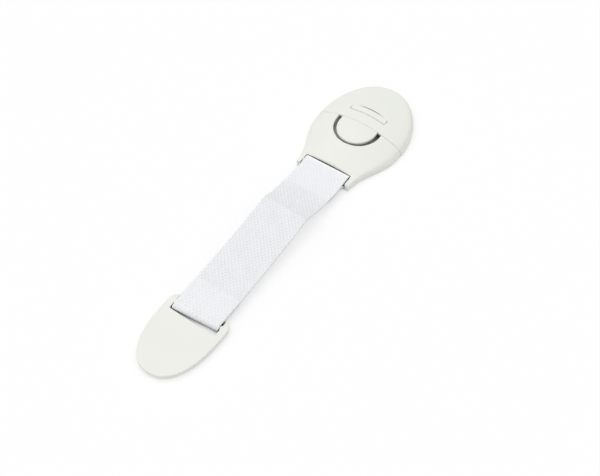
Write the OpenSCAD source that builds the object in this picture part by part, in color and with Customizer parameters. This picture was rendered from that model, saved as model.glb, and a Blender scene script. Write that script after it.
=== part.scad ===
// Adhesive strap lock for cabinet doors and drawers.
// The head sticks to the furniture and holds a sliding latch, the webbing strap loops round a bar
// on the latch and a bar on the tail plate, and the tail plate sticks to the door.
// Origin: under the seam of the head, on the face that is stuck down. +Y runs from tail to head.

/* [Head] */
// Width of the head across the seam
head_w = 48.4; // [46:0.2:52]
// Length of the hood from the seam to its round end
hood_l = 31.6; // [30:0.2:36]
// How far the hood stands proud of the latch cover at each side
hood_proud = 0.3; // [0:0.05:0.6]
// Length of the latch cover from the seam to the ends of its posts
latch_l = 34; // [34:0.2:38]
// Length from the seam to the front edge of the latch cover, over the strap
cover_l = 28; // [27:0.2:29.5]
// Straight stretch of the cover's sides next to the seam
shoulder_l = 3; // [1:0.5:6]
// Width of each post beside the strap, at the narrow end of the latch cover
post_w = 2.2; // [1.6:0.1:3.5]
// Height of the crown of the head above the furniture
crown_h = 10.5; // [10.2:0.1:12]
// Place of the crown beyond the seam
crown_y = 2; // [1:0.5:4]
// Radius of the crown across the head
cross_r = 43.5; // [38.5:0.5:46]
// Radius of the crown along the hood
long_r = 105; // [70:1:120]
// Height of the narrow end of the latch cover
neck_h = 6.2; // [6:0.1:7]
// Radius of the narrow end across the head
neck_r = 57; // [45:1:80]
// Wall of the hood and of the latch cover
shell_t = 1.5; // [1.2:0.1:1.6]
// Gap between the furniture and the edges of the hood and the cover
skirt_gap = 0.6; // [0.3:0.1:0.9]
// Gap at the seam between the hood and the latch cover
seam_gap = 0.15; // [0.1:0.05:0.3]

/* [Adhesive pads] */
// Thickness of the foam pads
foam_t = 1; // [0.8:0.1:1.2]
// Thickness of the release liners
liner_t = 0.1; // [0.08:0.01:0.2]
// How far the pads stay inside the plates that carry them
pad_inset = 1; // [0.5:0.1:2]

/* [Base plate] */
// Thickness of the base plate
base_t = 1.6; // [1.2:0.1:1.8]
// Radius of the base plate's end under the latch cover
base_end_r = 27; // [26.5:0.5:28]
// Middle of that radius beyond the seam
base_end_y = 4; // [3.5:0.25:5]
// Gap between the base plate and the cover that slides over it
base_gap = 0.6; // [0.4:0.1:1]
// Length of the guide rails beyond the seam, under the hood
rail_l = 14; // [10:0.5:15]
// Length of the guide rails before the seam, under the cover
rail_lead = 3.5; // [2:0.5:4]
// Wall of a guide rail
rail_t = 1; // [0.8:0.1:1.2]
// Thickness of the lip on a guide rail
lip_t = 0.7; // [0.6:0.05:0.8]

/* [Catch] */
// Width of the button and of the tongue that carries it
button_w = 20.5; // [18:0.5:21]
// Length from the seam to the middle of the button's round end
button_y = 2.7; // [2:0.1:4]
// Radius of the outer edge of the slot round the button
slot_r = 12.4; // [12:0.1:12.5]
// Length from the seam to the middle of the slot's round end
slot_y = 2; // [1.6:0.1:3]
// Thickness of the tongue
tongue_t = 1.6; // [1.4:0.1:1.8]
// Place of the tongue's root beyond the seam, where it bends
root_y = 20; // [19:0.25:20.5]
// Height of the bend line at the root
root_h = 4.5; // [4.4:0.05:4.6]
// Radius of the root
root_r = 1; // [0.8:0.05:1]
// Width of the tongue's stem and root under the hood
stem_w = 18; // [14:0.5:18]
// Place of the window in the hood beyond the seam
window_y = 6; // [5:0.25:7]
// Length of the window along the head
window_l = 3.1; // [2.6:0.1:3.6]
// Length of the ramp on the tooth
ramp_l = 1.1; // [0.6:0.1:1.4]
// Depth of the ramp on the tooth
ramp_h = 1.2; // [0.8:0.1:1.3]

/* [Latch arms] */
// Inner face of each arm from the middle of the head
arm_x = 12.7; // [12.6:0.05:12.8]
// Thickness of an arm
arm_t = 1.3; // [1.1:0.1:1.4]
// Reach of the arms under the hood
arm_reach = 23; // [22.5:0.25:23.5]
// Length of the arms under the latch cover
arm_back = 14; // [10:0.5:14.5]
// Width of the flange that the rails hold down
flange_w = 1; // [0.7:0.1:1.2]
// Thickness of that flange
flange_t = 0.6; // [0.5:0.05:0.7]
// Length from the end of the arm back to the end of that flange
flange_back = 2; // [1:0.5:4]

/* [Strap] */
// Width of the webbing
strap_w = 25; // [20:0.5:30]
// Thickness of the webbing
strap_t = 1.1; // [0.9:0.05:1.15]
// Length between the two bars that the strap is looped round
bar_span = 101.4; // [90:0.2:160]
// Length of the doubled webbing at the head end
head_lap = 17.2; // [14:0.2:20]
// Length of the doubled webbing at the tail end
tail_lap = 16.7; // [14:0.2:20]
// Length from the head bar to the crease across the strap
crease_l = 33.7; // [30:0.2:40]
// Height of the webbing at the end of the doubled part at the head
head_lap_h = 5.5; // [5.5:0.1:7]
// Height of the webbing at the crease
crease_h = 8.8; // [7:0.1:12]
// Height of the webbing half way from the crease to the tail
middle_h = 6; // [4:0.1:8]
// Height of the webbing at the end of the doubled part at the tail
tail_lap_h = 4.3; // [4:0.1:5]

/* [Bars] */
// Radius of the two bars
bar_r = 1.2; // [1:0.05:1.25]
// Length from the seam to the head bar
head_bar_y = 31.3; // [31:0.1:32]
// Height of the head bar
head_bar_h = 3.2; // [3.1:0.05:3.3]
// Height of the tail bar
tail_bar_h = 2.5; // [2.45:0.05:2.6]

/* [Tail plate] */
// Width of the tail plate on each side of the strap slot
tail_side = 3.5; // [3:0.1:6]
// Length of the tail plate
tail_l = 40.2; // [38:0.2:50]
// Length of the leaf-shaped end
leaf_l = 30.3; // [26:0.2:31]
// Thickness of the tail plate
tail_t = 2.4; // [2.3:0.1:2.6]
// Radius of the corners at the shoulders
corner_r = 4.5; // [2:0.25:5]
// Length from the shoulders to the tail bar
tail_bar_in = 4.1; // [3.6:0.1:4.6]
// Length from the tail bar to the far edge of the strap slot
slot_l = 4.4; // [4:0.1:5]

/* [Hidden] */

// Clearances
// Between parts that are pressed or seated together
fit_gap = 0.05;
// Between parts that slide on each other
slide_gap = 0.2;
// Between the latch and the inside of the hood
hood_gap = 0.3;
// Between the round root and its seat
root_gap = 0.1;
// Between the tooth and the ends of its window
tooth_gap = 0.15;
// Between the tooth's steep face and the window's lower edge as the tooth goes down
tooth_slip = 0.06;
// Between the tooth's top and the outside of the hood
tooth_sink = 0.05;
// Between a bar and the webbing round it
loop_gap = 0.06;
// Between one fold of the webbing and the next
fold_gap = 0.05;
// By how much the rounded end of a fold is thinner than the webbing
fold_step = 0.02;
// Between the strap and the posts beside it
strap_side_gap = 0.4;
// How far a cut runs past the face that it opens
over = 1;
// How far a part runs into the wall that carries it
sink = 0.7;
// How far the webbing's lengths run into each other where they join
join_over = 0.15;

// Counts along curves
hood_steps = 48;
cover_rows = 20;
cover_columns = 16;
leaf_steps = 40;
tooth_steps = 6;
leaf_power = 2.3;
round_fn = 64;
dome_fn = 240;

// Heights of the head's layers
pad_h = liner_t + foam_t;
base_top = pad_h + base_t;
arm_h = base_top + slide_gap;
tongue_drop = shell_t + hood_gap;

// Widths of the head's parts
hood_half = head_w / 2 + hood_proud;
slot_half = strap_w / 2 + strap_side_gap;
neck_w = 2 * (slot_half + post_w);
tail_w = 2 * (slot_half + tail_side);
arm_out = arm_x + arm_t;
flange_out = arm_out + flange_w;
flange_top = arm_h + flange_t;
lip_h = flange_top + slide_gap;
rail_x = flange_out + slide_gap;
rail_top = lip_h + lip_t;
tooth_half = button_w / 2 - tooth_gap;
dome_floor = long_r - crown_h - over;

// Hood bosses, with their places as shares of the hood's half width and length
boss_r = 1.5;
boss_pin_r = 0.8;
boss_shares = [[0.745, 0.25], [-0.745, 0.25], [0, 0.88]];

// Places along the strap
tail_bar_y = -head_bar_y - bar_span;
tail_end_y = tail_bar_y + tail_bar_in;
tail_tip_y = tail_end_y - tail_l;
leaf_y = tail_tip_y + leaf_l;
tail_slot_y = tail_bar_y - slot_l;
tail_top = pad_h + tail_t;
half_t = strap_t / 2;
loop_in = bar_r + loop_gap;
loop_out = loop_in + strap_t;
loop_mid = loop_in + half_t;
fold_start = half_t + fold_gap;
// From a bar to where the plies meet, as a share of the loop's middle radius
join_share = 3;
join_l = join_share * loop_mid;
// From the end of the folded-back ply to the end of the ply on it, as a share of the webbing's thickness
ply_end_share = 1.2;
ply_end_gap = ply_end_share * strap_t;

// Hinge lines of the strap, as length and height
head_bar = [-head_bar_y, head_bar_h];
fold_a = [-head_bar_y - head_lap, head_lap_h];
fold_b = [-head_bar_y - crease_l, crease_h];
fold_d = [tail_bar_y + tail_lap, tail_lap_h];
fold_c = [(fold_b[0] + fold_d[0]) / 2, middle_h];
tail_bar = [tail_bar_y, tail_bar_h];

// Slope from one hinge line to the next, and the slopes of the two doubled ends
function run(p, q) = norm(q - p);
function slope(p, q) = atan2(q[1] - p[1], abs(q[0] - p[0]));
function lap_run(p, q) = sqrt(pow(run(p, q), 2) - pow(half_t, 2));
function lap_slope(p, q) = slope(p, q) - asin(half_t / run(p, q));

echo(head_bar = head_bar, fold_a = fold_a, fold_b = fold_b, fold_c = fold_c, fold_d = fold_d, tail_bar = tail_bar);

// Height of a lowered crown, and the distance from the root to the window's edge in the hood's inside
function ring_r(x, drop) = long_r - cross_r + sqrt(pow(cross_r - drop, 2) - x * x);
function dome_h(x, y, drop) = crown_h - long_r + sqrt(pow(ring_r(x, drop), 2) - pow(y - crown_y, 2));
function tooth_reach(x) = norm([root_y - window_y, dome_h(x, window_y, shell_t) - root_h]) - tooth_slip;

// Shape of the latch cover: a half wave eases the width, the height and the radius to the neck
function clamp01(t) = max(0, min(1, t));
function ease(t) = (1 + cos(180 * clamp01(t))) / 2;
function cover_half(y) =
    neck_w / 2 + (head_w - neck_w) / 2 * ease((-y - shoulder_l) / (latch_l - shoulder_l));
function cover_crown(y) = neck_h + (crown_h - neck_h) * ease((crown_y - y) / (crown_y + latch_l));
function cover_radius(y) = neck_r + (cross_r - neck_r) * ease(-y / latch_l);
function arch_drop(x, r) = r - sqrt(r * r - x * x);
function cover_skin(x, y) = cover_crown(y) - arch_drop(x, cover_radius(y));

// The solid under the cover's outer skin, from y0 down to y1, drawn in by inset on every side
module cover_block(y0, y1, inset, floor_z) {
    n = cover_rows;
    m = cover_columns;
    ys = [for (i = [0:n]) y0 + (y1 - y0) * i / n];
    function px(i, j) = (cover_half(ys[i]) - inset) * (2 * j / m - 1);
    top = [for (i = [0:n], j = [0:m]) [px(i, j), ys[i], cover_skin(px(i, j), ys[i]) - inset]];
    low = [for (i = [0:n], s = [-1, 1]) [s * (cover_half(ys[i]) - inset), ys[i], floor_z]];
    function t(i, j) = i * (m + 1) + j;
    function b(i, s) = len(top) + 2 * i + s;
    polyhedron(
        points = concat(top, low),
        faces = concat(
            [for (i = [0:n - 1], j = [0:m - 1]) [t(i, j), t(i, j + 1), t(i + 1, j + 1)]],
            [for (i = [0:n - 1], j = [0:m - 1]) [t(i, j), t(i + 1, j + 1), t(i + 1, j)]],
            [for (i = [0:n - 1]) [t(i, 0), t(i + 1, 0), b(i + 1, 0), b(i, 0)]],
            [for (i = [0:n - 1]) [t(i + 1, m), t(i, m), b(i, 1), b(i + 1, 1)]],
            [for (i = [0:n - 1]) [b(i, 0), b(i + 1, 0), b(i + 1, 1), b(i, 1)]],
            [concat([for (j = [m:-1:0]) t(0, j)], [b(0, 0), b(0, 1)])],
            [concat([for (j = [0:m]) t(n, j)], [b(n, 1), b(n, 0)])]
        )
    );
}

// The space under the hood's crown, lowered by drop: a ring with a round profile
module dome(drop) {
    translate([0, crown_y, crown_h - long_r])
    rotate([0, 90, 0])
    rotate_extrude($fn = dome_fn)
    intersection() {
        translate([long_r - cross_r, 0]) circle(r = cross_r - drop, $fn = dome_fn);
        translate([dome_floor, -cross_r]) square([long_r - dome_floor + over, 2 * cross_r]);
    }
}

// Space between two lowered crowns
module dome_layer(outer, inner) {
    difference() {
        dome(outer);
        dome(inner);
    }
}

// Half ellipse of the hood, open at the seam, drawn in by inset
module hood_outline(inset, lead) {
    rx = hood_half - inset;
    ry = hood_l - inset;
    arc = [for (i = [0:hood_steps]) [rx * cos(180 * i / hood_steps), ry * sin(180 * i / hood_steps)]];
    polygon(concat([[rx, -lead]], arc, [[-rx, -lead]]));
}

// Outline of the base plate: the hood's inside, then the cover's inside, then a round end
module base_outline(inset) {
    rx = hood_half - shell_t - fit_gap - inset;
    ry = hood_l - shell_t - fit_gap - inset;
    back = base_end_r;
    side = [for (i = [0:cover_rows]) let (y = -back * i / cover_rows)
        [cover_half(y) - shell_t - base_gap - inset, y]];
    arc = [for (i = [0:hood_steps]) [rx * cos(180 * i / hood_steps), ry * sin(180 * i / hood_steps)]];
    left = [for (i = [0:cover_rows]) [-side[i][0], side[i][1]]];
    right = [for (i = [cover_rows:-1:0]) side[i]];
    intersection() {
        polygon(concat(right, arc, left));
        translate([0, base_end_y]) circle(r = base_end_r - inset, $fn = dome_fn);
    }
}

// A round end with straight sides up to end_y before the seam: the button or its slot
module button_outline(half, middle, end_y) {
    l = middle + half - end_y;
    intersection() {
        union() {
            translate([0, -middle]) circle(r = half, $fn = round_fn);
            translate([-half, -middle]) square([2 * half, middle + over]);
        }
        translate([-half, -end_y - l]) square([2 * half, l]);
    }
}

module slab(x0, x1, y0, y1, z0, z1) {
    translate([x0, y0, z0]) cube([x1 - x0, y1 - y0, z1 - z0]);
}

module cross_cylinder(r, l, y, z) {
    translate([0, y, z]) rotate([0, 90, 0]) cylinder(r = r, h = l, center = true, $fn = round_fn);
}

// Head: fixed parts

// The plate's edge is bevelled to stay clear of the hood, and of the cover that slides over it
module base_plate() {
    color([0.91, 0.92, 0.90])
    difference() {
        union() {
            intersection() {
                translate([0, 0, pad_h]) linear_extrude(base_t) base_outline(0);
                dome(shell_t + base_gap);
            }
            intersection() {
                translate([0, 0, pad_h]) linear_extrude(base_t) base_outline(0);
                slab(-hood_half, hood_half, seam_gap, hood_l, 0, crown_h);
                dome(shell_t + fit_gap);
            }
            intersection() {
                for (s = [0, 1]) mirror([s, 0, 0]) guide_rail();
                dome(shell_t + fit_gap);
            }
        }
        for (p = boss_shares)
            translate([p[0] * hood_half, p[1] * hood_l, pad_h - over])
                cylinder(r = boss_pin_r + fit_gap, h = base_t + 2 * over, $fn = round_fn);
    }
}

// A guide rail whose lip holds the latch's flange down
module guide_rail() {
    slab(rail_x, rail_x + rail_t, -rail_lead, rail_l, base_top - sink, rail_top);
    slab(arm_out + slide_gap, rail_x + rail_t, -rail_lead, rail_l, lip_h, rail_top);
}

module hood() {
    color([0.93, 0.935, 0.915])
    difference() {
        union() {
            difference() {
                intersection() {
                    translate([0, 0, skirt_gap]) linear_extrude(crown_h) hood_outline(0, 0);
                    dome(0);
                }
                intersection() {
                    linear_extrude(crown_h) hood_outline(shell_t, over);
                    dome(shell_t);
                }
            }
            for (p = boss_shares) hood_boss(p[0] * hood_half, p[1] * hood_l);
        }
        slab(-button_w / 2, button_w / 2, window_y, window_y + window_l, base_top, crown_h + over);
    }
}

// A boss that stands on the base plate, with a pin that goes through it
module hood_boss(x, y) {
    intersection() {
        union() {
            translate([x, y, base_top]) cylinder(r = boss_r, h = crown_h, $fn = round_fn);
            translate([x, y, pad_h]) cylinder(r = boss_pin_r, h = crown_h, $fn = round_fn);
        }
        dome(shell_t / 2);
    }
}

module head_foam_pad() {
    color([0.86, 0.87, 0.86])
    translate([0, 0, liner_t]) linear_extrude(foam_t) base_outline(pad_inset);
}

module head_release_liner() {
    color([0.90, 0.86, 0.72])
    linear_extrude(liner_t) base_outline(pad_inset);
}

// Head: the latch that slides out

module latch_cover() {
    color([0.93, 0.935, 0.915]) {
        difference() {
            cover_block(-seam_gap, -latch_l, 0, skirt_gap);
            cover_block(over, -cover_l + shell_t, shell_t, -over);
            slab(-slot_half, slot_half, -latch_l - over, -cover_l, -over, crown_h);
            linear_extrude(crown_h + over) button_outline(slot_r, slot_y, -over);
        }
        for (s = [0, 1]) mirror([s, 0, 0]) latch_arm();
        latch_cross_bar();
        cross_cylinder(bar_r, 2 * (slot_half + sink), -head_bar_y, head_bar_h);
    }
}

// One side arm: it hangs from the cover, and reaches under the hood with a flange at its foot
module latch_arm() {
    intersection() {
        slab(arm_x, arm_out, -arm_back, -seam_gap, arm_h, crown_h);
        dome(shell_t / 2);
    }
    intersection() {
        union() {
            slab(arm_x, arm_out, -seam_gap - shell_t, arm_reach, arm_h, crown_h);
            slab(arm_x, flange_out, -arm_back, arm_reach - flange_back, arm_h, flange_top);
        }
        dome(tongue_drop);
    }
}

// The bar that joins the arms at the front, with the round seat of the tongue's root
module latch_cross_bar() {
    difference() {
        intersection() {
            slab(-arm_out, arm_out, root_y, arm_reach, arm_h, crown_h);
            dome(tongue_drop);
        }
        cross_cylinder(root_r + root_gap, stem_w + 2 * root_gap, root_y, root_h);
    }
}

module release_tongue() {
    stem_end = root_y - slide_gap;
    color([0.94, 0.945, 0.925]) {
        intersection() {
            linear_extrude(crown_h + over) button_outline(button_w / 2, button_y, seam_gap);
            dome_layer(0, tongue_t);
        }
        intersection() {
            slab(-stem_w / 2, stem_w / 2, -button_y, -seam_gap, 0, crown_h + over);
            dome_layer(tongue_t / 2, tongue_drop + tongue_t);
        }
        intersection() {
            slab(-stem_w / 2, stem_w / 2, -button_y, stem_end, 0, crown_h + over);
            dome_layer(tongue_drop, tongue_drop + tongue_t);
        }
        cross_cylinder(root_r, stem_w, root_y, root_h);
        intersection() {
            slab(-stem_w / 2, stem_w / 2, root_y - root_r, stem_end, root_h, crown_h);
            dome(tongue_drop);
        }
        tooth();
    }
}

// The tooth that fills the hood's window: its steep face swings down about the root just clear
// of the window's edge, and the other side is a ramp that slips under the hood as the latch goes in
module tooth() {
    back_y = window_y + window_l - tooth_gap;
    difference() {
        intersection() {
            slab(-tooth_half, tooth_half, window_y + tooth_gap, back_y, 0, crown_h + over);
            dome_layer(tooth_sink, tongue_drop + tongue_t / 2);
            tooth_sweep();
        }
        translate([0, back_y, crown_h - ramp_h])
            rotate([atan2(ramp_h, ramp_l), 0, 180])
            translate([-head_w / 2, 0, 0])
            cube([head_w, window_l, crown_h]);
    }
}

// The space within the window's lower edge, turned about the root
module tooth_sweep() {
    rim = [for (i = [-tooth_steps:tooth_steps]) let (x = tooth_half * i / tooth_steps)
        [tooth_reach(x), x]];
    translate([0, root_y, root_h])
    rotate([0, 90, 0])
    rotate_extrude($fn = dome_fn)
    polygon(concat(rim, [[0, tooth_half], [0, -tooth_half]]));
}

// Strap: one strip of webbing, looped round both bars and folded back under itself

// Places a profile drawn as length and height at a hinge line, sloping by a degrees towards the tail
module strap_piece(p, a) {
    translate([0, p[0], p[1]])
    rotate([90, 0, -90])
    rotate([0, 0, a])
    for (i = [0:$children - 1]) linear_extrude(strap_w, center = true) children(i);
}

// The same, running back towards the head
module strap_piece_back(p, a) {
    translate([0, p[0], p[1]])
    rotate([90, 0, 90])
    rotate([0, 0, a])
    for (i = [0:$children - 1]) linear_extrude(strap_w, center = true) children(i);
}

// Half a ring round the bar, on the side away from the strap, which runs into the upper ply
module loop_half() {
    difference() {
        circle(r = loop_out, $fn = round_fn);
        circle(r = loop_in, $fn = round_fn);
        translate([join_over, 0]) square(loop_out + over);
        translate([0, -loop_out - over]) square(loop_out + over);
    }
}

// One ply from the ring to where the plies meet, then along to the end
module ply(side, l) {
    polygon([
        [0, side * loop_in], [0, side * loop_out],
        [join_l, side * strap_t], [l, side * strap_t], [l, 0], [join_l, 0]
    ]);
}

// The rounded end that the next length of webbing turns about
module fold_end(x, y) {
    translate([x, y]) circle(r = half_t - fold_step, $fn = round_fn);
}

// A single length of webbing between two hinge lines, clear of the rounded end before it
module single_ply(l) {
    translate([fold_start, -half_t]) square([l - fold_start, strap_t]);
}

module span(p, q) {
    color([0.93, 0.94, 0.96])
    strap_piece(p, slope(p, q)) {
        single_ply(run(p, q));
        fold_end(run(p, q), 0);
    }
}

module webbing_head_loop() {
    l = lap_run(head_bar, fold_a);
    color([0.93, 0.94, 0.96])
    strap_piece(head_bar, lap_slope(head_bar, fold_a)) {
        loop_half();
        ply(1, l);
        fold_end(l, half_t);
    }
}

module webbing_head_foldback() {
    color([0.92, 0.93, 0.95])
    strap_piece(head_bar, lap_slope(head_bar, fold_a))
        ply(-1, lap_run(head_bar, fold_a) - ply_end_gap);
}

module webbing_head_span() {
    span(fold_a, fold_b);
}

module webbing_middle_span() {
    span(fold_b, fold_c);
}

module webbing_tail_span() {
    span(fold_c, fold_d);
}

module webbing_tail_loop() {
    color([0.93, 0.94, 0.96])
    strap_piece_back(tail_bar, lap_slope(tail_bar, fold_d)) {
        loop_half();
        ply(1, lap_run(tail_bar, fold_d) - fold_start);
    }
}

module webbing_tail_foldback() {
    color([0.92, 0.93, 0.95])
    strap_piece_back(tail_bar, lap_slope(tail_bar, fold_d))
        ply(-1, lap_run(tail_bar, fold_d) - ply_end_gap);
}

// Tail

module tail_outline(inset) {
    half = tail_w / 2 - inset;
    leaf = [for (i = [0:leaf_steps]) let (a = 180 * i / leaf_steps)
        [-half * sign(cos(a)) * pow(abs(cos(a)), 2 / leaf_power),
         leaf_y - (leaf_l - inset) * pow(sin(a), 2 / leaf_power)]];
    top_y = tail_end_y - inset;
    r = corner_r;
    polygon(concat(leaf, [[half, top_y - r], [half - r, top_y], [r - half, top_y], [-half, top_y - r]]));
    for (s = [-1, 1]) translate([s * (half - r), top_y - r]) circle(r = r, $fn = round_fn);
}

module tail_plate() {
    color([0.93, 0.935, 0.915]) {
        difference() {
            translate([0, 0, pad_h]) linear_extrude(tail_t) tail_outline(0);
            slab(-slot_half, slot_half, tail_slot_y, tail_end_y + over, 0, tail_top + over);
        }
        cross_cylinder(bar_r, 2 * (slot_half + sink), tail_bar_y, tail_bar_h);
    }
}

// Outline of the tail's pad, which stops short of the strap slot
module tail_pad_outline() {
    difference() {
        tail_outline(pad_inset);
        translate([-tail_w, tail_slot_y - pad_inset]) square([2 * tail_w, tail_l]);
    }
}

module tail_foam_pad() {
    color([0.86, 0.87, 0.86])
    translate([0, 0, liner_t]) linear_extrude(foam_t) tail_pad_outline();
}

module tail_release_liner() {
    color([0.90, 0.86, 0.72])
    linear_extrude(liner_t) tail_pad_outline();
}

base_plate();
hood();
head_foam_pad();
head_release_liner();
latch_cover();
release_tongue();
webbing_head_loop();
webbing_head_foldback();
webbing_head_span();
webbing_middle_span();
webbing_tail_span();
webbing_tail_foldback();
webbing_tail_loop();
tail_plate();
tail_foam_pad();
tail_release_liner();
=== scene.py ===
import math

import bmesh
import bpy
import numpy as np
from mathutils import Matrix, Vector


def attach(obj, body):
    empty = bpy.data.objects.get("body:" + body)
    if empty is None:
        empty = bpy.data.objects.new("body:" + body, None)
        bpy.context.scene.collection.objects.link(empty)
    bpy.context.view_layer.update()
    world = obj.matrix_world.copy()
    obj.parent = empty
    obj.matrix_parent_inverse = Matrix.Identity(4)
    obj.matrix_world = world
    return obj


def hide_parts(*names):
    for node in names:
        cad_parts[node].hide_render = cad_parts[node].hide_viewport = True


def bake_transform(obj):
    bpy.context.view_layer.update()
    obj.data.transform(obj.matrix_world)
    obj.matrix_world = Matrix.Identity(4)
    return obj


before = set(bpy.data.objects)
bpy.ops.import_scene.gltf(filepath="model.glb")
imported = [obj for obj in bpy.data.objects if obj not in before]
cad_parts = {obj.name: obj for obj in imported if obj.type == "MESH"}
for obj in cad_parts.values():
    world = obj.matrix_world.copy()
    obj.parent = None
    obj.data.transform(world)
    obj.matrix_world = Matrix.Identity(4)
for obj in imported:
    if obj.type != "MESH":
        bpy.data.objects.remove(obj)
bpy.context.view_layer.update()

# One millimetre in the scene's metres. Sizes without it are in millimetres
MM = 0.001

# Head, as in the part's source: the hood, and the cover with its shoulder and neck
HOOD_L = 31.6
HOOD_HALF = 24.5
HEAD_W = 48.4
COVER_L = 28.0
LATCH_L = 34.0
SHOULDER_L = 3.0
NECK_W = 30.2
NECK_H = 6.2
# Crown of the head, and the radii of its skin across, along and at the neck
CROWN_H = 10.5
CROWN_Y = 2.0
CROSS_R = 43.5
LONG_R = 105.0
NECK_R = 57.0
# Webbing, half the width of the slots that it passes, and its middle line's radius round a bar
STRAP_W = 25.0
STRAP_T = 1.1
SLOT_HALF = 12.9
LOOP_MID = 1.81
# Y and Z of the two bars and of the arch's crease
HEAD_BAR = (-31.3, 3.2)
TAIL_BAR = (-132.7, 2.5)
CREASE = (-65.0, 8.8)
# Where the folded-back plies end
HEAD_LAP_END = -47.0
TAIL_LAP_END = -117.6

# Distance within which a point counts as lying on a face
TOUCH = 0.05


# Camera at the photograph's viewpoint

def make_camera():
    azimuth = math.radians(35.6)
    elevation = math.radians(52.773)
    roll = math.radians(-1.079)
    distance = 566.3 * MM
    target = Vector((11.799, -69.942, 0.0)) * MM
    focal_px = 1200.9
    width_px = 600
    back = Vector((
        math.sin(azimuth) * math.cos(elevation),
        -math.cos(azimuth) * math.cos(elevation),
        math.sin(elevation),
    ))
    right = Vector((math.cos(azimuth), math.sin(azimuth), 0.0))
    up = back.cross(right)
    turned_right = right * math.cos(roll) + up * math.sin(roll)
    turned_up = up * math.cos(roll) - right * math.sin(roll)
    data = bpy.data.cameras.new("photo_camera")
    data.sensor_fit = "HORIZONTAL"
    data.sensor_width = 36.0
    data.lens = focal_px / width_px * data.sensor_width
    data.clip_start = 0.01
    data.clip_end = 20.0
    camera = bpy.data.objects.new("photo_camera", data)
    bpy.context.collection.objects.link(camera)
    axes = Matrix((turned_right, turned_up, back)).transposed().to_4x4()
    camera.matrix_world = Matrix.Translation(target + back * distance) @ axes
    bpy.context.scene.camera = camera


# Painted shade: colours turn dark where narrow gaps and recesses see little open sky. How far that looks,
# the shares of open sky from dark to clear, and the shade's colour
PAINTED_SHADE_REACH = 6 * MM
PAINTED_SHADE_SPAN = (0.12, 0.45)
PAINTED_SHADE_COLOUR = (0.04, 0.04, 0.04, 1)
# The floor's painted shadow under the object has shares of its own, so that the floor stays pale beside the
# object
FLOOR_PAINTED_SHADOW_SPAN = (0.04, 0.3)
# Ranges of a noise's values over which a colour or roughness changes
NOISE_SPAN = (0.3, 0.7)
NARROW_SPAN = (0.35, 0.65)


# Node helpers

class Graph:
    """Adds nodes to a material or a world and links them by socket."""

    def __init__(self, owner, shader):
        owner.use_nodes = True
        self.owner = owner
        self.tree = owner.node_tree
        self.shader = self.tree.nodes[shader]

    def feed(self, node, socket, value):
        target = node.inputs[socket]
        if isinstance(value, bpy.types.NodeSocket):
            self.tree.links.new(value, target)
        else:
            target.default_value = value

    def add(self, kind, settings=None, **inputs):
        node = self.tree.nodes.new(kind)
        for key, value in (settings or {}).items():
            setattr(node, key, value)
        for key, value in inputs.items():
            self.feed(node, key.replace("_", " "), value)
        return node

    def shade(self, **inputs):
        """Sets or links sockets of the shader itself."""
        for key, value in inputs.items():
            self.feed(self.shader, key.replace("_", " "), value)

    def place(self):
        return self.add("ShaderNodeTexCoord").outputs["Object"]

    def attribute(self, name):
        return self.add("ShaderNodeAttribute", {"attribute_name": name}).outputs["Fac"]

    def math(self, operation, a, b):
        node = self.add("ShaderNodeMath", {"operation": operation})
        self.feed(node, 0, a)
        self.feed(node, 1, b)
        return node.outputs[0]

    def mix(self, factor, a, b):
        """Mix of two colours, whose sockets share their names with those for numbers."""
        node = self.add("ShaderNodeMix", {"data_type": "RGBA"})
        self.feed(node, 0, factor)
        self.feed(node, 6, a)
        self.feed(node, 7, b)
        return node.outputs[2]

    def ramp(self, value, low, high, to_low=0.0, to_high=1.0):
        node = self.add("ShaderNodeMapRange")
        for index, number in enumerate((value, low, high, to_low, to_high)):
            self.feed(node, index, number)
        return node.outputs[0]

    def with_painted_shade(self, colour, span):
        """The colour with painted shade: turned dark where a narrow gap lets little light in."""
        node = self.add("ShaderNodeAmbientOcclusion", {"samples": 16}, Distance=PAINTED_SHADE_REACH)
        return self.mix(self.ramp(node.outputs["AO"], *span), PAINTED_SHADE_COLOUR, colour)

    def noise(self, vector, scale, detail=2.0, roughness=0.5):
        """Noise of so many waves to a metre."""
        node = self.add(
            "ShaderNodeTexNoise",
            Vector=vector, Scale=scale, Detail=detail, Roughness=roughness,
        )
        return node.outputs[0]

    def bump(self, height, depth, strength, under=None):
        """A bumpy normal, on top of another one if that is given."""
        node = self.add("ShaderNodeBump", Height=height, Distance=depth, Strength=strength)
        if under is not None:
            self.feed(node, "Normal", under)
        return node.outputs[0]


def new_material(name):
    return Graph(bpy.data.materials.new(name), "Principled BSDF")


# Materials

def moulded_plastic(name, colour, shade):
    """Satin moulded plastic: a fine spark-eroded grain, faint flow marks and uneven gloss."""
    g = new_material(name)
    place = g.place()
    flow = g.noise(place, scale=55.0, detail=3.0)
    gloss = g.noise(place, scale=260.0)
    grain = g.noise(place, scale=5200.0, roughness=0.6)
    tone = g.mix(g.ramp(flow, *NARROW_SPAN), colour, shade)
    waves = g.bump(gloss, depth=0.012 * MM, strength=0.6)
    # Base colour with painted shade in narrow gaps and recesses
    g.shade(
        Base_Color=g.with_painted_shade(tone, PAINTED_SHADE_SPAN),
        Roughness=g.ramp(gloss, *NOISE_SPAN, to_low=0.38, to_high=0.48),
        Normal=g.bump(grain, depth=0.05 * MM, strength=0.35, under=waves),
        IOR=1.46,
        Specular_IOR_Level=0.25,
    )
    return g.owner


def foam_material(name, colour, shade):
    """Closed-cell foam: small round cells cut open at the edges."""
    g = new_material(name)
    place = g.place()
    cells = g.add("ShaderNodeTexVoronoi", Vector=place, Scale=2600.0)
    wall = g.ramp(cells.outputs["Distance"], low=0.0, high=0.45)
    uneven = g.noise(place, scale=900.0)
    g.shade(
        Base_Color=g.mix(wall, shade, colour),
        Roughness=g.ramp(uneven, *NOISE_SPAN, to_low=0.85, to_high=0.95),
        Normal=g.bump(wall, depth=0.08 * MM, strength=0.6),
    )
    return g.owner


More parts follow.
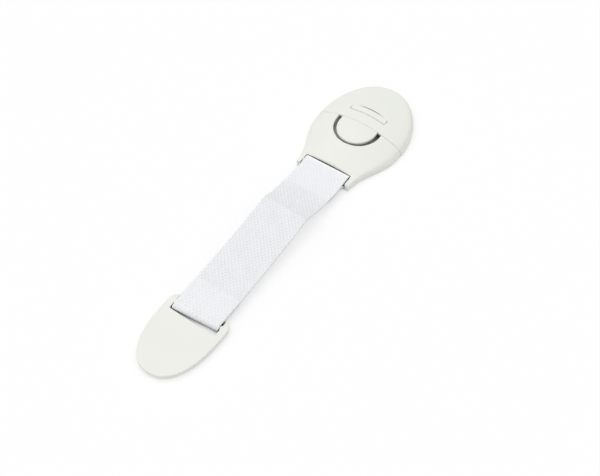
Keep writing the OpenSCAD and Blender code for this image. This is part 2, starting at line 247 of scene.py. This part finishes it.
def paper_material(name, colour, shade):
    """Waxed release paper: pale fibres under a smooth coat."""
    g = new_material(name)
    fibres = g.noise(g.place(), scale=1400.0, detail=5.0, roughness=0.7)
    g.shade(
        Base_Color=g.mix(g.ramp(fibres, *NARROW_SPAN), shade, colour),
        Roughness=g.ramp(fibres, *NOISE_SPAN, to_low=0.3, to_high=0.4),
        Normal=g.bump(fibres, depth=0.01 * MM, strength=0.5),
    )
    return g.owner


def webbing_material(name, yarn, pick, shade, painted_highlight):
    """Woven webbing: bluish white yarns, warmer grey picks that are partly painted shade between the yarns,
    painted shade in the weave's valleys, and fine fibres along each yarn.

    Where the webbing bends over the head's bar it has a painted highlight of plain white.
    """
    g = new_material(name)
    flat = g.add("ShaderNodeUVMap", {"uv_map": "flat"}).outputs[0]
    lift = g.attribute("lift")
    warp = g.attribute("warp")

    def fine_fibres(squeeze):
        """Noise squeezed across the fibres, so that it is long along them."""
        squeezed = g.add("ShaderNodeMapping", Vector=flat, Scale=squeeze).outputs[0]
        return g.noise(squeezed, scale=900.0)

    on_yarns = g.math("MULTIPLY", fine_fibres((9.0, 1.0, 1.0)), warp)
    on_picks = g.math("MULTIPLY", fine_fibres((1.0, 9.0, 1.0)), g.math("SUBTRACT", 1.0, warp))
    fibres = g.math("ADD", on_yarns, on_picks)
    patches = g.noise(flat, scale=130.0)
    # Painted shade: the shade colour fills the weave's valleys by their depth, with random patches that
    # vary it
    valley = g.ramp(lift, low=0.1, high=0.7)
    worn = g.ramp(patches, *NOISE_SPAN, to_low=-0.12, to_high=0.12)
    woven = g.mix(g.math("ADD", valley, worn), shade, g.mix(warp, pick, yarn))
    # Painted highlight: plain white on the webbing's bend over the head's bar
    colour = g.mix(g.attribute("fold"), woven, painted_highlight)
    # Base colour with painted shade in narrow gaps and recesses
    g.shade(
        Base_Color=g.with_painted_shade(colour, PAINTED_SHADE_SPAN),
        Roughness=g.ramp(fibres, low=0.2, high=0.8, to_low=0.62, to_high=0.8),
        Normal=g.bump(fibres, depth=0.05 * MM, strength=0.6),
        Sheen_Weight=0.25,
        Sheen_Roughness=0.4,
    )
    return g.owner


PLASTIC = moulded_plastic(
    "satin_white_plastic",
    colour=(0.85, 0.858, 0.808, 1),
    shade=(0.836, 0.846, 0.798, 1),
)
# Base plate: greyer than the shell, partly painted shade for the groove through which it shows
BASE_PLASTIC_PAINTED_SHADE = moulded_plastic("base_plastic", colour=(0.78, 0.79, 0.75, 1), shade=(0.76, 0.77, 0.73, 1))
FOAM = foam_material("pad_foam", colour=(0.74, 0.75, 0.74, 1), shade=(0.52, 0.53, 0.53, 1))
PAPER = paper_material("release_paper", colour=(0.82, 0.76, 0.57, 1), shade=(0.78, 0.71, 0.52, 1))
# Webbing: its shade colour is painted shade in the weave's valleys, its pick colour partly painted shade
# between the yarns, and its plain white the painted highlight on the bend over the head's bar
WEBBING = webbing_material(
    "woven_webbing",
    yarn=(0.885, 0.9, 0.94, 1),
    pick=(0.8, 0.805, 0.79, 1),
    shade=(0.72, 0.735, 0.745, 1),
    painted_highlight=(0.98, 0.98, 0.98, 1),
)


# Shape of the head's outer skin, as the part's source has it

def ease(t):
    """Falls smoothly from 1 at 0 to 0 at 1."""
    return (1 + np.cos(np.pi * np.clip(t, 0, 1))) / 2


def cover_half(y):
    """Half the width of the cover."""
    share = ease((-y - SHOULDER_L) / (LATCH_L - SHOULDER_L))
    return NECK_W / 2 + (HEAD_W - NECK_W) / 2 * share


def cover_skin(x, y):
    """Height of the cover's skin."""
    crown = NECK_H + (CROWN_H - NECK_H) * ease((CROWN_Y - y) / (CROWN_Y + LATCH_L))
    radius = NECK_R + (CROSS_R - NECK_R) * ease(-y / LATCH_L)
    return crown - radius + np.sqrt(radius ** 2 - x ** 2)


def hood_skin(x, y):
    """Height of the hood's skin."""
    ring = LONG_R - CROSS_R + np.sqrt(CROSS_R ** 2 - x ** 2)
    return CROWN_H - LONG_R + np.sqrt(ring ** 2 - (y - CROWN_Y) ** 2)


# How far the hood's face at the seam comes forward, and how deep that reaches
SEAM_CLOSE = 0.1
SEAM_REACH = 0.6
# Rounding of the head's rim, inwards and downwards, and what is left of both at the neck
RIM_W = 2.3
RIM_H = 2.0
RIM_NECK = 0.5
# Rounding of the cover's front edge over the strap
FRONT_ROUND = 1.1
# How much fuller the flank is than a plain arc, and how far inside the edge that starts and ends fading
FLANK_LIFT = 0.55
FLANK_IN = 2.0
FLANK_OUT = 9.0
# Depth of skin that the flank's lift stretches
FLANK_SKIN = 1.2


def round_rim(inset, z, skin, width, depth, lift):
    """Inset and height of points once the flank is fuller and the rim inside the edge is rounded."""
    fuller = lift * ease((inset - FLANK_IN) / (FLANK_OUT - FLANK_IN))
    outer = np.clip((z - skin) / FLANK_SKIN + 1, 0, 1)
    z = z + fuller * outer
    u = np.clip((width - inset) / width, 0, 1)
    v = np.maximum((z - skin - fuller) / depth + 1, 0)
    over = np.where((u > 0) & (v > 0), np.maximum(np.hypot(u, v), 1), 1)
    moved_inset = np.where(u > 0, width * (1 - u / over), inset)
    return moved_inset, z + depth * (v / over - v)


def round_hood_rim(points):
    """Rounds the hood's rim and brings its face at the seam forward."""
    x, y, z = points.T.copy()
    ahead = np.maximum(y, 0)
    angle = np.arctan2(ahead / HOOD_L, x / HOOD_HALF)
    edge = np.hypot(HOOD_HALF * np.cos(angle), HOOD_L * np.sin(angle))
    radius = np.hypot(x, ahead)
    inset = np.maximum(edge - radius, 0)
    skin = hood_skin(np.clip(np.abs(x), 0, HOOD_HALF), y)
    moved, points[:, 2] = round_rim(inset, z, skin, RIM_W, RIM_H, FLANK_LIFT)
    inward = (moved - inset) / np.maximum(radius, 1)
    points[:, 0] = x * (1 - inward)
    points[:, 1] = y - ahead * inward - SEAM_CLOSE * np.clip(1 - y / SEAM_REACH, 0, 1)


def round_cover_rim(points):
    """Rounds the cover's rim, less towards the neck, and its front edge over the strap."""
    x, y, z = points.T.copy()
    half = cover_half(y)
    share = (half - NECK_W / 2) / (HEAD_W / 2 - NECK_W / 2)
    inset = np.maximum(half - np.abs(x), 0)
    skin = cover_skin(np.minimum(np.abs(x), half), y)
    width = RIM_NECK + (RIM_W - RIM_NECK) * share
    depth = RIM_NECK + (RIM_H - RIM_NECK) * share
    moved, points[:, 2] = round_rim(inset, z, skin, width, depth, FLANK_LIFT * share)
    points[:, 0] = x - np.sign(x) * (moved - inset)
    over_strap = (np.abs(x) < SLOT_HALF) & (y > -COVER_L - TOUCH)
    lip = np.where(over_strap, np.maximum(y + COVER_L, 0), COVER_L)
    moved, points[:, 2] = round_rim(lip, points[:, 2], skin, FRONT_ROUND, FRONT_ROUND, 0)
    points[:, 1] = y + moved - lip


# Window in the hood: half its width, its near and far edge, and the height above which it lies
WINDOW_HALF = 10.25
WINDOW_NEAR = 6.0
WINDOW_FAR = 9.1
WINDOW_H = 6.8
# How far its far edge bows out in the middle, and the length over which that fades beyond it
WINDOW_BOW = 1.6
WINDOW_FADE = 5.0
# Tooth's ramp: where it begins and ends, and how much higher it lies at its end
RAMP_Y = 7.9
RAMP_END = 9.0
RAMP_LIFT = 0.6
# Tooth: how much wider it is, how much longer about its middle, and its step towards the seam
TOOTH_WIDER = 1.007
TOOTH_LONGER = 0.05
TOOTH_Y = 7.55
TOOTH_BACK = 0.06
# Button: where it begins to grow towards its slot's round end, over what length and how far
BUTTON_FROM = -2.7
BUTTON_LENGTH = 10.0
BUTTON_REACH = 0.5


def bow_window(points):
    """Bows the far edge of the window, and what fills it, away from the seam."""
    x, y, z = points.T.copy()
    bow = WINDOW_BOW * np.clip(1 - (x / WINDOW_HALF) ** 2, 0, 1)
    near = np.clip((y - WINDOW_NEAR) / (WINDOW_FAR - WINDOW_NEAR), 0, 1)
    beyond = ease((y - WINDOW_FAR) / WINDOW_FADE)
    moved = y + np.where(z > WINDOW_H, bow * near * beyond, 0)
    inside = np.clip(x, -HOOD_HALF, HOOD_HALF)
    points[:, 1] = moved
    points[:, 2] = z + hood_skin(inside, moved) - hood_skin(inside, y)


def shape_hood(points):
    round_hood_rim(points)
    bow_window(points)


def fit_tongue(points):
    """Brings the tooth and the button's round end closer to the edges of their openings."""
    x, y, z = points.T.copy()
    tooth = (y > WINDOW_NEAR - TOUCH) & (y < WINDOW_FAR + TOUCH) & (z > WINDOW_H)
    ramp = np.clip((y - RAMP_Y) / (RAMP_END - RAMP_Y), 0, 1)
    points[:, 2] = z + np.where(tooth, RAMP_LIFT * ramp, 0)
    points[:, 0] = x * np.where(tooth, TOOTH_WIDER, 1)
    points[:, 1] = y + np.where(tooth, TOOTH_LONGER * (y - TOOTH_Y) - TOOTH_BACK, 0)
    button = np.clip((BUTTON_FROM - y) / BUTTON_LENGTH, 0, 1)
    points[:, 1] -= BUTTON_REACH * button
    bow_window(points)


# Tail's slot: its far edge, how far that is cut back at the +X end, and how the cut fades
SLOT_Y = -137.1
SLOT_CUT = 0.9
SLOT_FADE = 6.0
SLOT_SIDE = 1.5


def open_tail_slot(points):
    """Cuts the far edge of the tail's slot back on a slant, from nothing at the -X end."""
    x, y, z = points.T
    slant = np.clip((1 + x / SLOT_HALF) / 2, 0, 1) * ease((np.abs(x) - SLOT_HALF) / SLOT_SIDE)
    reach = np.where(y < SLOT_Y, ease((SLOT_Y - y) / SLOT_FADE), ease((y - SLOT_Y) / SLOT_SIDE))
    points[:, 1] = y - SLOT_CUT * slant * reach


# Moulded and foam pieces

# Distance within which doubled points of a CAD solid are joined
JOIN_DISTANCE = 0.0005
# Node, piece, body, size of its small faces, rounds of smoothing, and what reshapes it
MOULDINGS = (
    ("hood", "hood_shell", "head_base", 0.24, 5, shape_hood),
    ("latch_cover", "latch_shell", "latch", 0.22, 4, round_cover_rim),
    ("release_tongue", "button_tongue", "tongue", 0.22, 4, fit_tongue),
    ("tail_plate", "tail_leaf", "tail", 0.26, 5, open_tail_slot),
)
# Node, piece and body of the foam pads
PADS = (
    ("head_foam_pad", "head_foam", "head_base"),
    ("tail_foam_pad", "tail_foam", "tail"),
)


def remeshed(node, name, body, material, face, rounds, reshape=None):
    """The CAD solid again, filled with small even faces and with its edges rounded."""
    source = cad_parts[node]
    shell = bmesh.new()
    shell.from_mesh(source.data)
    bmesh.ops.transform(shell, matrix=source.matrix_world, verts=shell.verts)
    bmesh.ops.scale(shell, vec=(1 / MM, 1 / MM, 1 / MM), verts=shell.verts)
    bmesh.ops.remove_doubles(shell, verts=shell.verts, dist=JOIN_DISTANCE)
    bmesh.ops.recalc_face_normals(shell, faces=shell.faces)
    mesh = bpy.data.meshes.new(name)
    shell.to_mesh(mesh)
    shell.free()
    piece = bpy.data.objects.new(name, mesh)
    bpy.context.collection.objects.link(piece)
    fill = piece.modifiers.new("fill", "REMESH")
    fill.mode = "VOXEL"
    fill.voxel_size = face
    fill.use_smooth_shade = True
    even = piece.modifiers.new("even", "SMOOTH")
    even.factor = 0.5
    even.iterations = rounds
    graph = bpy.context.evaluated_depsgraph_get()
    final = bpy.data.meshes.new_from_object(piece.evaluated_get(graph))
    piece.modifiers.clear()
    piece.data = final
    points = np.empty(len(final.vertices) * 3)
    final.vertices.foreach_get("co", points)
    points = points.reshape(-1, 3)
    if reshape is not None:
        reshape(points)
    final.vertices.foreach_set("co", (points * MM).ravel())
    final.update()
    final.name = name
    final.materials.clear()
    final.materials.append(material)
    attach(piece, body)
    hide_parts(node)
    return piece


# Middle line of the strap, which is one strip

# Y and Z of its upper ply: from the cover's front edge up to the crease, and down to the tail's bar
RISE = [(-31.8, 5.3), (-36, 4.72), (-41, 4.48), (-48.5, 4.9), (-57, 6.4), CREASE]
FALL = [CREASE, (-75, 7.45), (-87, 6.15), (-97, 5.4), (-110, 4.75), (-120, 4.42)]
# Distance from a bar at which the folded-back ply lies against the upper one, and the gap between them
LAP_START = 5.2
PLY_GAP = 0.03
# Loop at the head: its far side, its upper side and the radius of its two bends
LOOP_FAR = -28.8
LOOP_HIGH = 5.45
LOOP_BEND = 1.6
# Points of the line between two given ones, and round the tail's bar
LINE_POINTS = 40


def cubic(t, start, start_way, end, end_way):
    """Cubic from start to end, as t goes from 0 to 1, that leaves and arrives with the given ways."""
    return ((2 * t ** 3 - 3 * t ** 2 + 1) * start + (t ** 3 - 2 * t ** 2 + t) * start_way
            + (3 * t ** 2 - 2 * t ** 3) * end + (t ** 3 - t ** 2) * end_way)


def smooth_heights(points):
    """Smooth line through points of Y and Z that never swings past them."""
    ys, zs = np.array(points, float).T
    step = np.diff(ys)
    grade = np.diff(zs) / step
    slope = np.empty(len(ys))
    slope[0] = grade[0]
    slope[-1] = grade[-1]
    for i in range(1, len(ys) - 1):
        if grade[i - 1] * grade[i] <= 0:
            slope[i] = 0
        else:
            slope[i] = 2 * grade[i - 1] * grade[i] / (grade[i - 1] + grade[i])
    stretches = []
    for i in range(len(step)):
        t = np.linspace(0, 1, LINE_POINTS)[: None if i == len(step) - 1 else -1]
        z = cubic(t, zs[i], step[i] * slope[i], zs[i + 1], step[i] * slope[i + 1])
        stretches.append(np.stack([ys[i] + t * step[i], z], 1))
    return np.vstack(stretches)


def loose_loop():
    """Loop round the head's bar: square and loose, up to the cover's front edge."""
    low = HEAD_BAR[1] - LOOP_MID
    quarter = np.linspace(0, np.pi / 2, num=16)
    far = LOOP_FAR - LOOP_BEND
    lower = [far + LOOP_BEND * np.sin(quarter), low + LOOP_BEND - LOOP_BEND * np.cos(quarter)]
    upper = [far + LOOP_BEND * np.cos(quarter), LOOP_HIGH - LOOP_BEND + LOOP_BEND * np.sin(quarter)]
    return np.vstack([[(HEAD_BAR[0], low)], np.stack(lower, 1), np.stack(upper, 1)])


def tight_loop():
    """Loop round the tail's bar, from above to below."""
    turn = np.radians(np.linspace(-90, 90, LINE_POINTS))
    return np.stack([TAIL_BAR[0] - LOOP_MID * np.cos(turn), TAIL_BAR[1] - LOOP_MID * np.sin(turn)], 1)


def folded_back(ply, low_y, high_y):
    """The ply that lies under a stretch of the upper one."""
    kept = ply[(ply[:, 0] > low_y) & (ply[:, 0] < high_y)]
    return kept - [0, STRAP_T + PLY_GAP]


def eased_join(start, start_way, end, end_way):
    """Cubic between two points with given directions, without its ends."""
    start, end = np.array(start, float), np.array(end, float)
    reach = np.linalg.norm(end - start)
    way0 = np.array(start_way, float)
    way1 = np.array(end_way, float)
    way0 = way0 / np.linalg.norm(way0) * reach
    way1 = way1 / np.linalg.norm(way1) * reach
    t = np.linspace(0, 1, num=20)[1:-1, None]
    return cubic(t, start, way0, end, way1)


def strap_path():
    """The whole line: folded-back ply at the head, loop, arch with its crease, loop and folded-back ply."""
    head_ring = loose_loop()
    tail_ring = tight_loop()
    rise = smooth_heights([head_ring[-1]] + RISE)
    fall = smooth_heights(FALL + [(TAIL_BAR[0], TAIL_BAR[1] + LOOP_MID)])
    head_under = folded_back(rise, HEAD_LAP_END, HEAD_BAR[0] - LAP_START)[::-1]
    tail_under = folded_back(fall, TAIL_BAR[0] + LAP_START, TAIL_LAP_END)
    head_join = eased_join(head_under[-1], head_under[-1] - head_under[-2], head_ring[0], (1, 0))
    tail_join = eased_join(tail_ring[-1], (1, 0), tail_under[-1], tail_under[-2] - tail_under[-1])
    return np.vstack([
        head_under, head_join, head_ring, rise[1:],
        fall[1:], tail_ring[1:], tail_join, tail_under[::-1],
    ])


PATH = strap_path()
# Length along the strip at each point of the line, and at the crease
RUN = np.concatenate([[0], np.cumsum(np.linalg.norm(np.diff(PATH, axis=0), axis=1))])
CREASE_RUN = RUN[np.argmin(np.abs(PATH - CREASE).sum(axis=1))]


def run_at(y):
    """Length along the strip at which its upper ply passes y."""
    upper = (RUN > RUN[np.argmax(PATH[:, 0])]) & (RUN < RUN[np.argmin(PATH[:, 0])])
    return np.interp(-y, -PATH[upper, 0], RUN[upper])


def line_at(run):
    """Points of the middle line at lengths along the strip."""
    return np.stack([np.interp(run, RUN, PATH[:, k]) for k in (0, 1)], 1)


# Weave: how many yarns run along the strip, the length of a pick, and the faces to each yarn and pick
YARNS = 24
PICK = 1.2
FACETS = 4
# Depth of the weave, and how much of it is pressed flat where two plies are welded
WEAVE_DEPTH = 0.32
WELD_FLAT = 0.14
WELD_FADE = 2.5
# How much of the valleys' painted shade is taken away there
WELD_PALE = 0.45
# Threads: a power that rounds their section, and their heights where they lie under and over others
HUMP = 0.6
YARN_UNDER = 0.5
YARN_OVER = 1.0
PICK_UNDER = 0.3
PICK_OVER = 0.6
# Threads are uneven by this share. The pattern of it repeats after so many threads
UNEVEN = 0.14
YARN_REPEAT = 64
PICK_REPEAT = 400
# Share of the half width that the rounded edge takes, and how far the edge stays inside its yarn
SELVEDGE = 0.045
EDGE_INSIDE = 0.001
# How far the picks push the edges out, and how steeply that begins near the edge
RAGGED = 0.1
RAGGED_POWER = 12
# The strip's slow wander from side to side, and how far it turns with each pick, in radians
WANDER = 0.05
WANDER_RATE = 0.37
# How far the strap lies against the post on the +X side, and where that begins and is complete
HEAD_ASIDE = 0.28
ASIDE_FROM = -62
ASIDE_FULL = -42
# Where the painted highlight on the webbing's bend over the head's bar begins, and over what length it
# fades in
HIGHLIGHT_Y = -30.7
HIGHLIGHT_FADE = 0.6
# How much looser the tail's loop is at its left edge than at its right edge
TAIL_SLACK = 1.6
# Half the length over which the line's direction is taken
WAY_REACH = 0.35

rng = np.random.default_rng(seed=11)


def weave(a, b, flip, yarn_lift, pick_lift):
    """Height from 0 to 1 of a plain weave, and 1 where a lengthwise yarn is on top."""
    i = np.floor(a).astype(int)
    j = np.floor(b).astype(int)
    yarn_hump = np.abs(np.sin(np.pi * a)) ** HUMP
    pick_hump = np.abs(np.sin(np.pi * b)) ** HUMP
    over = (1 + np.cos(np.pi * (b - 0.5 + i + flip))) / 2
    under = (1 - np.cos(np.pi * (a - 0.5 + j + flip))) / 2
    yarn_height = YARN_UNDER + (YARN_OVER - YARN_UNDER) * over
    pick_height = PICK_UNDER + (PICK_OVER - PICK_UNDER) * under
    yarn = yarn_hump * yarn_height * yarn_lift[i % len(yarn_lift)]
    pick = pick_hump * pick_height * pick_lift[j % len(pick_lift)]
    return np.maximum(yarn, pick), (yarn > pick).astype(float)


def welded_share(rows):
    """1 where two plies are welded together, 0 on the single ply between them."""
    head = 1 - ease((run_at(HEAD_LAP_END) - rows) / WELD_FADE + 0.5)
    tail = 1 - ease((rows - run_at(TAIL_LAP_END)) / WELD_FADE + 0.5)
    return np.maximum(head, tail)


def strap_rows():
    """Rows along the strip, columns across it, and each side's points, heights that set the painted valley
    shade, yarns and the painted highlight on the fold.
    """
    start = CREASE_RUN - PICK * math.floor(CREASE_RUN / PICK)
    rows = np.arange(start, RUN[-1], PICK / FACETS)
    across = np.linspace(-1, 1, YARNS * FACETS + 1)
    centre = line_at(rows)
    way = line_at(rows + WAY_REACH) - line_at(rows - WAY_REACH)
    way /= np.linalg.norm(way, axis=1)[:, None]
    normal = np.stack([way[:, 1], -way[:, 0]], 1)
    a = np.clip((across + 1) / 2 * YARNS, EDGE_INSIDE, YARNS - EDGE_INSIDE)
    b = (rows - CREASE_RUN) / PICK + PICK_REPEAT
    yarn_lift = 1 - UNEVEN * rng.random(YARN_REPEAT)
    pick_lift = 1 - UNEVEN * rng.random(PICK_REPEAT)
    grid_a, grid_b = np.meshgrid(a, b)
    welded = welded_share(rows)
    depth = WEAVE_DEPTH - WELD_FLAT * welded
    rounding = ((np.abs(across) - (1 - SELVEDGE)) / SELVEDGE).clip(0, 1)
    edge = np.sqrt(np.clip(1 - rounding ** 2, 0, 1))
    ragged = RAGGED * np.cos(2 * np.pi * b)[:, None] * np.abs(across) ** RAGGED_POWER * np.sign(across)
    aside = HEAD_ASIDE * ease((rows - run_at(ASIDE_FULL)) / (run_at(ASIDE_FROM) - run_at(ASIDE_FULL)))
    shift = aside + WANDER * np.sin(b * WANDER_RATE)
    x = across[None, :] * (STRAP_W / 2 - WANDER) + ragged + shift[:, None]
    round_bar = np.clip((TAIL_BAR[0] - centre[:, 0]) / LOOP_MID, 0, 1)
    slack = TAIL_SLACK * round_bar[:, None] * (1 - across[None, :]) / 2
    # Painted highlight where the webbing bends over the head's bar
    bend_highlight = np.clip((centre[:, 0] - HIGHLIGHT_Y) / HIGHLIGHT_FADE, 0, 1) * (centre[:, 1] > HEAD_BAR[1])
    fold = np.repeat(bend_highlight[:, None], len(across), axis=1)
    sides = []
    for side, flip in ((1, 0), (-1, 1)):
        height, warp = weave(grid_a, grid_b, flip, yarn_lift, pick_lift)
        off = (STRAP_T / 2 - depth[:, None] * (1 - height)) * edge[None, :]
        y = centre[:, 0, None] + side * off * normal[:, 0, None] - slack
        z = centre[:, 1, None] + side * off * normal[:, 1, None]
        # Heights that set the painted valley shade, which is weaker where the plies are welded
        shown = height + (1 - height) * WELD_PALE * welded[:, None]
        sides.append((np.stack([x, y, z], -1), shown, warp, fold))
    return rows, across, sides


def strip_faces(index, half):
    """Faces round the strip, and those that close its two ends, from the points' numbers row by row."""
    after = np.roll(index, -1, axis=1)
    quads = np.stack([index[:-1], index[1:], after[1:], after[:-1]], -1).reshape(-1, 4)
    caps = []
    for row, order in ((index[0], 1), (index[-1], -1)):
        back = row[half:][::-1]
        upper = row[1:half - 1]
        for k in range(len(upper) - 1):
            caps.append([upper[k], upper[k + 1], back[k + 1], back[k]][::order])
        caps.append([row[0], upper[0], back[0]][::order])
        caps.append([upper[-1], row[half - 1], back[-1]][::order])
    return quads.tolist(), caps


def lay_flat(mesh, across, rows):
    """Maps the strip's two sides flat beside each other, in metres."""
    # The lower side starts half a width beyond the upper side's edge
    lower = across[-2:0:-1] + 3
    widths = np.concatenate([across, lower]) * STRAP_W / 2
    flat = np.stack(np.broadcast_arrays(widths[None, :], rows[:, None]), -1).reshape(-1, 2) * MM
    corner = np.empty(len(mesh.loops), int)
    mesh.loops.foreach_get("vertex_index", corner)
    layer = mesh.uv_layers.new(name="flat")
    layer.data.foreach_set("uv", flat[corner].ravel().astype(np.float32))


def crisp_ends(mesh, index):
    """Keeps the shading sharp round the strip's two cut ends."""
    ends = np.zeros(index.size, bool)
    ends[index[[0, -1]]] = True
    pairs = np.empty(len(mesh.edges) * 2, int)
    mesh.edges.foreach_get("vertices", pairs)
    sharp = ends[pairs].reshape(-1, 2).all(axis=1)
    mesh.attributes.new("sharp_edge", "BOOLEAN", "EDGE").data.foreach_set("value", sharp)


def strip(name, rows, across, sides, first, last):
    """A closed piece of the strip between two of its rows."""
    take = slice(first, last + 1)

    def all_round(upper, lower):
        return np.concatenate([upper[take], lower[take][:, -2:0:-1]], 1)

    around, lift, warp, fold = [all_round(upper, lower) for upper, lower in zip(*sides)]
    count = around.shape[0] * around.shape[1]
    index = np.arange(count).reshape(around.shape[:2])
    quads, caps = strip_faces(index, len(across))
    mesh = bpy.data.meshes.new(name)
    mesh.from_pydata((around.reshape(-1, 3) * MM).tolist(), [], quads + caps)
    # lift carries the painted valley shade and fold the painted highlight on the bend
    for key, values in (("lift", lift), ("warp", warp), ("fold", fold)):
        attribute = mesh.attributes.new(key, "FLOAT", "POINT")
        attribute.data.foreach_set("value", values.ravel().astype(np.float32))
    lay_flat(mesh, across, rows[take])
    mesh.polygons.foreach_set("use_smooth", [True] * len(quads) + [False] * len(caps))
    crisp_ends(mesh, index)
    mesh.materials.append(WEBBING)
    mesh.validate()
    mesh.update()
    piece = bpy.data.objects.new(name, mesh)
    bpy.context.collection.objects.link(piece)
    return piece


# Pieces of the strip from the head to the tail, and where it is cut between them
STRAP_PIECES = (
    "strap_loop_head",
    "strap_fold_head",
    "strap_crease",
    "strap_fold_middle",
    "strap_fold_tail",
    "strap_loop_tail",
)
STRAP_CUTS = (-41, -57, -78, -103, -124)
# Pieces that lie between two bodies, the two bodies, and where each bend begins and ends; these pieces are
# left fixed to no body
STRAP_BENDS = (
    ("strap_fold_head", "strap_head_end", "strap_head_length", -46.5, -52.5),
    ("strap_crease", "strap_head_length", "strap_middle_length", -61.0, -69.0),
    ("strap_fold_middle", "strap_middle_length", "strap_tail_length", -83.0, -98.0),
    ("strap_fold_tail", "strap_tail_length", "strap_tail_end", -112.5, -118.5),
)


def make_strap():
    rows, across, sides = strap_rows()

    def row_at(y):
        """The row at the whole pick nearest to y."""
        picks = round((run_at(y) - CREASE_RUN) / PICK)
        return int(np.argmin(np.abs(rows - (CREASE_RUN + PICK * picks))))

    cuts = [0] + [row_at(y) for y in STRAP_CUTS] + [len(rows) - 1]
    made = {}
    for name, first, last in zip(STRAP_PIECES, cuts, cuts[1:]):
        made[name] = strip(name, rows, across, sides, first, last)
    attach(made["strap_loop_head"], "strap_head_end")
    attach(made["strap_loop_tail"], "strap_tail_end")
    for name, body_a, body_b, start_y, end_y in STRAP_BENDS:
        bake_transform(made[name])
    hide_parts("webbing_head_loop", "webbing_head_foldback")
    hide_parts("webbing_head_span")
    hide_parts("webbing_middle_span")
    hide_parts("webbing_tail_span")
    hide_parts("webbing_tail_loop", "webbing_tail_foldback")


# Floor, light and world

# Sky strength at the horizon and overhead
HORIZON_LEVEL = 0.15
ZENITH_LEVEL = 1.0
# White as the camera, a gloss or clear plastic sees it, and the floor's share of it
BACKDROP_LEVEL = 1.0
FLOOR_GLOW = 0.65


def seen_ray(g):
    """1 for rays from the camera, from a gloss or through clear plastic."""
    path = g.add("ShaderNodeLightPath")
    seen = path.outputs["Is Camera Ray"]
    for ray in ("Is Glossy Ray", "Is Transmission Ray"):
        seen = g.math("MAXIMUM", seen, path.outputs[ray])
    return seen


def floor_material():
    g = new_material("floor_white")
    # Painted shadow: the floor's white, and the white it glows with, turn dark under the object where
    # little sky reaches
    white = g.with_painted_shade((0.99, 0.99, 0.99, 1), FLOOR_PAINTED_SHADOW_SPAN)
    g.shade(Base_Color=white, Roughness=1.0, Specular_IOR_Level=0.0)
    glow = g.add("ShaderNodeEmission", Color=white, Strength=BACKDROP_LEVEL)
    blend = g.add("ShaderNodeMixShader")
    g.feed(blend, 0, g.math("MULTIPLY", seen_ray(g), FLOOR_GLOW))
    g.feed(blend, 1, g.shader.outputs[0])
    g.feed(blend, 2, glow.outputs[0])
    g.feed(g.tree.nodes["Material Output"], "Surface", blend.outputs[0])
    return g.owner


def make_floor():
    """A wide floor, so little below the release liners that no gap shows."""
    half = 3.0
    drop = 0.02 * MM
    mesh = bpy.data.meshes.new("floor")
    corners = [(-half, -half, 0), (half, -half, 0), (half, half, 0), (-half, half, 0)]
    mesh.from_pydata(corners, [], [(0, 1, 2, 3)])
    mesh.materials.append(floor_material())
    floor = bpy.data.objects.new("floor", mesh)
    floor.location.z = -drop
    bpy.context.collection.objects.link(floor)


def make_sun(name, toward, strength, spread):
    """A sun in the direction toward it, seen over spread degrees of sky."""
    data = bpy.data.lights.new(name, "SUN")
    data.energy = strength
    data.angle = math.radians(spread)
    lamp = bpy.data.objects.new(name, data)
    lamp.rotation_mode = "QUATERNION"
    lamp.rotation_quaternion = Vector(toward).to_track_quat("Z", "Y")
    bpy.context.collection.objects.link(lamp)


def make_world():
    """A white sky that is weaker near the horizon."""
    g = Graph(bpy.data.worlds.new("studio"), "Background")
    place = g.add("ShaderNodeTexCoord").outputs["Generated"]
    height = g.add("ShaderNodeSeparateXYZ", Vector=place).outputs["Z"]
    sky = g.ramp(height, 0.0, 1.0, HORIZON_LEVEL, ZENITH_LEVEL)
    g.shade(
        Color=(1, 1, 1, 1),
        Strength=g.ramp(seen_ray(g), 0.0, 1.0, sky, BACKDROP_LEVEL),
    )
    bpy.context.scene.world = g.owner


def dress(node, material):
    """Gives a CAD node that stays a better material."""
    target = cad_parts[node]
    target.data.materials.clear()
    target.data.materials.append(material)


make_camera()
make_floor()
make_world()
make_sun("soft_key", toward=(-0.12, -0.22, 0.96), strength=0.95, spread=70)
bpy.context.scene.view_settings.view_transform = "Standard"

for node, name, body, face, rounds, reshape in MOULDINGS:
    remeshed(node, name, body, PLASTIC, face, rounds, reshape)
for node, name, body in PADS:
    pad = remeshed(node, name, body, FOAM, face=0.25, rounds=3)
make_strap()

dress("base_plate", BASE_PLASTIC_PAINTED_SHADE)
dress("head_release_liner", PAPER)
dress("tail_release_liner", PAPER)
